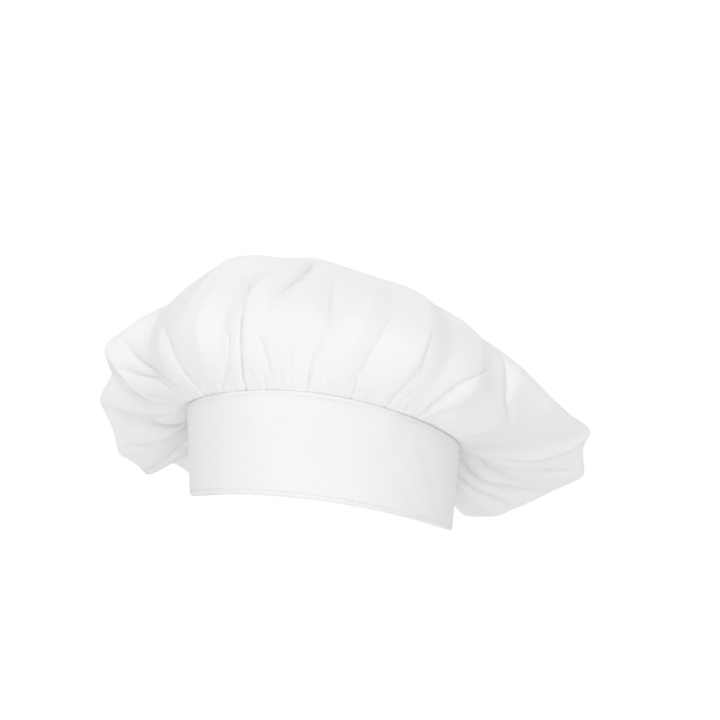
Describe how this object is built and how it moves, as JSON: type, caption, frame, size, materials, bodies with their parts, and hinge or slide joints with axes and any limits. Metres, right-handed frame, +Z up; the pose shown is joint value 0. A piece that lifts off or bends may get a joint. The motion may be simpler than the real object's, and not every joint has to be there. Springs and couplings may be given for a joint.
{
  "type": "chef toque",
  "caption": "White cotton chef's toque with a puffed, gathered crown on a stiffened band that closes at the back with a hook-and-loop tab.",
  "frame": {"origin": "centre of the head opening, level with the lowest points of the band's lower edge, where the hat meets a wearer's head or a flat surface", "axes": "+Z up through the crown, -Y to the front of the hat, +X to the wearer's left"},
  "size_m": [0.3217, 0.2722, 0.174],
  "materials": {
    "crown_cotton": "plain-weave cotton, pressed matt",
    "band_cotton": "plain-weave cotton over a stiffener, matt",
    "facing_cotton": "plain-weave cotton, matt",
    "interlining": "non-woven stiffener",
    "loop_tape": "brushed nylon loops",
    "hook_tape": "moulded nylon hooks",
    "sewing_thread": "spun polyester thread",
    "label_satin": "woven satin, soft sheen"
  },
  "bodies": {
    "hat": {"crown": "crown_cotton", "band_outer": "band_cotton", "band_interlining": "interlining", "band_facing": "facing_cotton", "band_top_stitching": "sewing_thread", "band_hem_stitching": "sewing_thread", "loop_tape": "loop_tape", "loop_tape_stitching": "sewing_thread", "care_label": "label_satin", "label_stitching": "sewing_thread"},
    "closure_tab": {"tab_outer": "band_cotton", "tab_interlining": "interlining", "tab_facing": "facing_cotton", "tab_edge_stitching": "sewing_thread", "hook_tape": "hook_tape", "hook_tape_stitching": "sewing_thread"}
  },
  "joints": [
    {"name": "tab_peel", "type": "hinge", "parent": "hat", "child": "closure_tab", "pos_m": [0.00605, 0.10303, 0.03603], "axis": [0.0964, -0.0549, -0.9938], "range_deg": [0, 120]}
  ]
}
